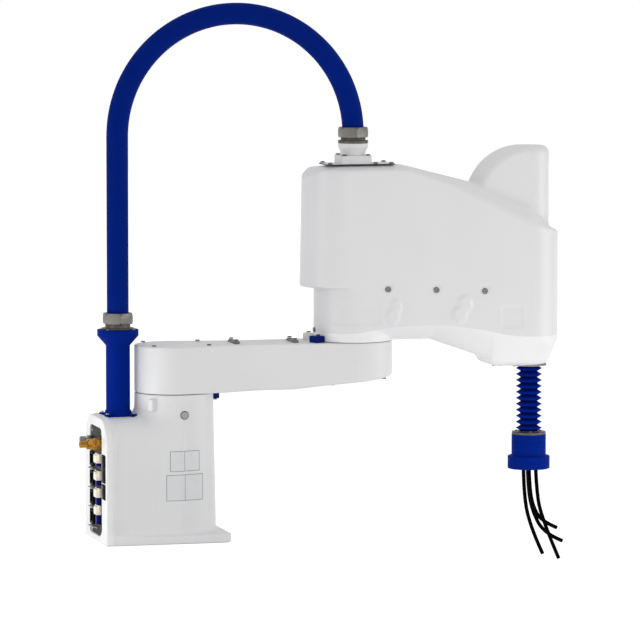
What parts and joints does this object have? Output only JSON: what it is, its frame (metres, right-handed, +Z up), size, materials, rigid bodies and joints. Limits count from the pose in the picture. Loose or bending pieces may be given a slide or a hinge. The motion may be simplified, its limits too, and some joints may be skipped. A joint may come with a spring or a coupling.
{
  "type": "scara robot",
  "caption": "White four-axis horizontal arm robot with a blue duct arching over its joints, a pleated boot on the lifting shaft and trailing tool cables.",
  "frame": {"origin": "first turning axis, in the plane of the base's mounting face, at the centre of the four mounting holes", "axes": "+X along the outstretched arms, +Z up along the turning axes"},
  "size_m": [1.2403, 0.248, 1.3832],
  "materials": {
    "white_casting": "satin white powder coat",
    "white_shell": "smooth satin white",
    "blue_plastic": "saturated blue, satin",
    "blue_rubber": "saturated blue, soft satin",
    "panel_sheet": "dark grey satin",
    "black_plastic": "matt black",
    "cream_plastic": "warm off-white",
    "brass": "plain machined",
    "steel": "plain machined",
    "label_film": "plain film",
    "machined_alloy": "machined",
    "motor_case": "black coat",
    "grey_plastic": "plain grey",
    "belt_rubber": "matt black",
    "black_rubber": "satin black"
  },
  "bodies": {
    "base": {"base_casting": "white_casting", "bottom_cover": "panel_sheet", "base_screws": "steel", "connector_panel": "panel_sheet", "panel_sockets": "black_plastic", "panel_plugs": "cream_plastic", "panel_clips": "steel", "air_fittings": "brass", "blank_plates": "black_plastic", "label_plates": "label_film", "side_plug": "grey_plastic", "riser_pipe": "blue_plastic", "riser_bolts": "steel", "riser_gland": "steel", "riser_nut": "steel", "duct_hose": "blue_plastic", "j1_motor": "motor_case", "j1_motor_screws": "steel", "j1_ring": "steel"},
    "j1_drive": {"j1_rotor": "steel"},
    "arm_1": {"arm1_casting": "white_casting", "arm1_lid": "white_casting", "arm1_screws": "steel", "cable_bars": "steel", "stop_bumpers": "blue_rubber", "reducer_screws": "steel", "j1_output": "steel", "j2_ring": "steel"},
    "arm_2": {"j2_output": "steel", "arm2_frame": "white_casting", "arm2_cover": "white_shell", "cover_screws": "steel", "nose_ring": "machined_alloy", "nose_screws": "steel", "duct_plate": "panel_sheet", "duct_screws": "steel", "duct_block": "white_casting", "duct_cup": "white_shell", "duct_gland": "steel", "duct_nut": "steel", "j2_motor": "motor_case", "hub_screws": "steel", "lift_motor": "motor_case", "turn_motor": "motor_case", "nut_housing": "machined_alloy", "belts": "belt_rubber", "boot": "blue_rubber"},
    "j2_drive": {"j2_rotor": "steel"},
    "lift_drive": {"lift_pulley": "machined_alloy"},
    "turn_drive": {"turn_pulley": "machined_alloy"},
    "turn_sleeve": {"turn_nut": "steel"},
    "lift_screw_nut": {"lift_nut": "steel"},
    "carriage": {"carriage_ring": "machined_alloy", "carriage_screws": "steel"},
    "tool": {"spline_shaft": "steel", "tool_collar": "blue_plastic", "tool_cable_1": "black_rubber", "tool_cable_2": "black_rubber", "tool_cable_3": "black_rubber", "tool_cable_4": "black_rubber"}
  },
  "joints": [
    {"name": "arm_1_turn", "type": "hinge", "parent": "base", "child": "arm_1", "pos_m": [0, 0, 0], "axis": [0, 0, 1], "range_deg": [-123, 123], "deforming": ["duct_hose"]},
    {"name": "arm_2_turn", "type": "hinge", "parent": "arm_1", "child": "arm_2", "pos_m": [0.45, 0, 0], "axis": [0, 0, 1], "range_deg": [-105, 105]},
    {"name": "lift", "type": "slide", "parent": "arm_2", "child": "carriage", "axis": [0, 0, 1], "range_m": [-0.085, 0.095], "deforming": ["boot"]},
    {"name": "tool_turn", "type": "hinge", "parent": "carriage", "child": "tool", "pos_m": [0.9, 0, 0], "axis": [0, 0, 1], "range_deg": [-360, 360]},
    {"name": "j1_drive_spin", "type": "hinge", "parent": "base", "child": "j1_drive", "pos_m": [0, 0, 0], "axis": [0, 0, 1], "continuous": true},
    {"name": "j2_drive_spin", "type": "hinge", "parent": "arm_2", "child": "j2_drive", "pos_m": [0.45, 0, 0], "axis": [0, 0, 1], "continuous": true},
    {"name": "lift_nut_spin", "type": "hinge", "parent": "arm_2", "child": "lift_screw_nut", "pos_m": [0.9, 0, 0], "axis": [0, 0, 1], "continuous": true},
    {"name": "lift_drive_spin", "type": "hinge", "parent": "arm_2", "child": "lift_drive", "pos_m": [0.72, -0.04, 0], "axis": [0, 0, 1], "continuous": true},
    {"name": "turn_sleeve_spin", "type": "hinge", "parent": "arm_2", "child": "turn_sleeve", "pos_m": [0.9, 0, 0], "axis": [0, 0, 1], "continuous": true},
    {"name": "turn_drive_spin", "type": "hinge", "parent": "arm_2", "child": "turn_drive", "pos_m": [0.64, 0.045, 0], "axis": [0, 0, 1], "continuous": true}
  ],
  "couplings": [
    {"joint": "j1_drive_spin", "follows": "arm_1_turn", "ratio": -50},
    {"joint": "j2_drive_spin", "follows": "arm_2_turn", "ratio": 51},
    {"joint": "lift_nut_spin", "follows": "lift", "rad_per_m": 251.33},
    {"joint": "lift_drive_spin", "follows": "lift", "rad_per_m": 439.82},
    {"joint": "turn_sleeve_spin", "follows": "tool_turn", "ratio": 1},
    {"joint": "turn_drive_spin", "follows": "tool_turn", "ratio": 1.75}
  ]
}
